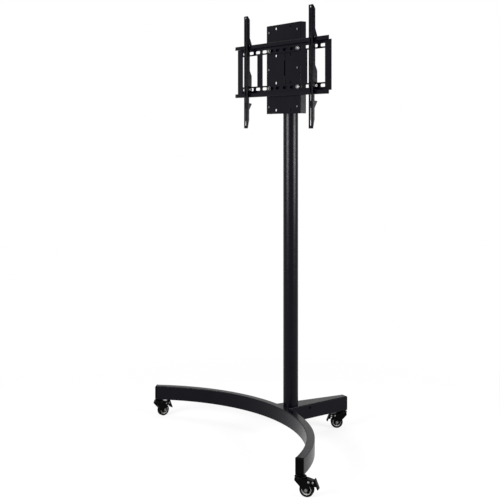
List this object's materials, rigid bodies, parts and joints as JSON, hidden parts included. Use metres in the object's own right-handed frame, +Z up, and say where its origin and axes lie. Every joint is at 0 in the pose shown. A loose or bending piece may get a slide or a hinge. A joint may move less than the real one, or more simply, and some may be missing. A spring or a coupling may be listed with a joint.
{
  "type": "tv stand",
  "caption": "Mobile floor stand for a flat television: arc base and rear leg on braked casters, round column, sliding head with slotted rails and two hanging arms.",
  "frame": {"origin": "middle of the stand's box in plan, on the floor", "axes": "+Z up, -Y towards the viewer of the television, +X to the viewer's right"},
  "size_m": [1.1658, 0.6234, 1.714],
  "materials": {
    "coated_steel": "black powder coat, satin",
    "black_plastic": "moulded, matt",
    "pressed_steel": "black, semi-gloss",
    "zinc_plate": "bright zinc",
    "tyre_rubber": "matt rubber",
    "hub_nylon": "grey moulded nylon"
  },
  "bodies": {
    "base": {"base_arc": "coated_steel", "left_arc_cap": "black_plastic", "right_arc_cap": "black_plastic", "rear_leg": "coated_steel", "rear_leg_cap": "black_plastic", "leg_side_screw": "pressed_steel", "column_tube": "coated_steel", "column_cap": "black_plastic", "foot_spigot": "zinc_plate", "column_bolt": "zinc_plate", "front_left_caster_stem": "pressed_steel", "front_right_caster_stem": "pressed_steel", "rear_caster_stem": "pressed_steel"},
    "head": {"head_plate": "coated_steel", "upper_saddle": "pressed_steel", "middle_saddle": "pressed_steel", "lower_saddle": "pressed_steel", "clamp_screw_1": "pressed_steel", "clamp_screw_2": "pressed_steel", "clamp_screw_3": "pressed_steel", "clamp_screw_4": "pressed_steel", "clamp_screw_5": "pressed_steel", "clamp_screw_6": "pressed_steel", "upper_rail": "coated_steel", "lower_rail": "coated_steel", "left_outer_strap": "coated_steel", "left_inner_strap": "coated_steel", "right_inner_strap": "coated_steel", "right_outer_strap": "coated_steel", "standoff_1": "coated_steel", "standoff_2": "coated_steel", "standoff_3": "coated_steel", "standoff_4": "coated_steel", "bracket_bolt_1": "zinc_plate", "bracket_bolt_2": "zinc_plate", "bracket_bolt_3": "zinc_plate", "bracket_bolt_4": "zinc_plate"},
    "left_arm": {"left_arm": "coated_steel", "left_arm_lock_screw": "zinc_plate"},
    "right_arm": {"right_arm": "coated_steel", "right_arm_lock_screw": "zinc_plate"},
    "front_left_swivel": {"front_left_caster_fork": "pressed_steel", "front_left_caster_axle": "zinc_plate"},
    "front_left_wheel": {"front_left_caster_tyre": "tyre_rubber", "front_left_caster_hub": "hub_nylon"},
    "front_left_brake": {"front_left_caster_brake": "pressed_steel"},
    "front_right_swivel": {"front_right_caster_fork": "pressed_steel", "front_right_caster_axle": "zinc_plate"},
    "front_right_wheel": {"front_right_caster_tyre": "tyre_rubber", "front_right_caster_hub": "hub_nylon"},
    "front_right_brake": {"front_right_caster_brake": "pressed_steel"},
    "rear_swivel": {"rear_caster_fork": "pressed_steel", "rear_caster_axle": "zinc_plate"},
    "rear_wheel": {"rear_caster_tyre": "tyre_rubber", "rear_caster_hub": "hub_nylon"},
    "rear_brake": {"rear_caster_brake": "pressed_steel"}
  },
  "joints": [
    {"name": "head_height", "type": "slide", "parent": "base", "child": "head", "axis": [0, 0, 1], "range_m": [-0.4, 0]},
    {"name": "left_arm_slide", "type": "slide", "parent": "head", "child": "left_arm", "axis": [1, 0, 0], "range_m": [-0.07, 0.09]},
    {"name": "right_arm_slide", "type": "slide", "parent": "head", "child": "right_arm", "axis": [1, 0, 0], "range_m": [-0.09, 0.07]},
    {"name": "front_left_swivel", "type": "hinge", "parent": "base", "child": "front_left_swivel", "pos_m": [-0.56092, -0.2892, 0.066], "axis": [0, 0, 1], "continuous": true},
    {"name": "front_left_roll", "type": "hinge", "parent": "front_left_swivel", "child": "front_left_wheel", "pos_m": [-0.5636, -0.26737, 0.025], "axis": [-0.9925, -0.1219, 0], "continuous": true},
    {"name": "front_left_brake", "type": "hinge", "parent": "front_left_swivel", "child": "front_left_brake", "pos_m": [-0.56646, -0.24405, 0.052], "axis": [-0.9925, -0.1219, 0], "range_deg": [0, 14]},
    {"name": "front_right_swivel", "type": "hinge", "parent": "base", "child": "front_right_swivel", "pos_m": [0.52714, -0.2892, 0.066], "axis": [0, 0, 1], "continuous": true},
    {"name": "front_right_roll", "type": "hinge", "parent": "front_right_swivel", "child": "front_right_wheel", "pos_m": [0.54374, -0.27477, 0.025], "axis": [-0.6561, 0.7547, 0], "continuous": true},
    {"name": "front_right_brake", "type": "hinge", "parent": "front_right_swivel", "child": "front_right_brake", "pos_m": [0.56148, -0.25936, 0.052], "axis": [-0.6561, 0.7547, 0], "range_deg": [0, 14]},
    {"name": "rear_swivel", "type": "hinge", "parent": "base", "child": "rear_swivel", "pos_m": [-0.01689, 0.28877, 0.066], "axis": [0, 0, 1], "continuous": true},
    {"name": "rear_roll", "type": "hinge", "parent": "rear_swivel", "child": "rear_wheel", "pos_m": [-0.02822, 0.26991, 0.025], "axis": [0.8572, -0.515, 0], "continuous": true},
    {"name": "rear_brake", "type": "hinge", "parent": "rear_swivel", "child": "rear_brake", "pos_m": [-0.04032, 0.24977, 0.052], "axis": [0.8572, -0.515, 0], "range_deg": [0, 14]}
  ]
}
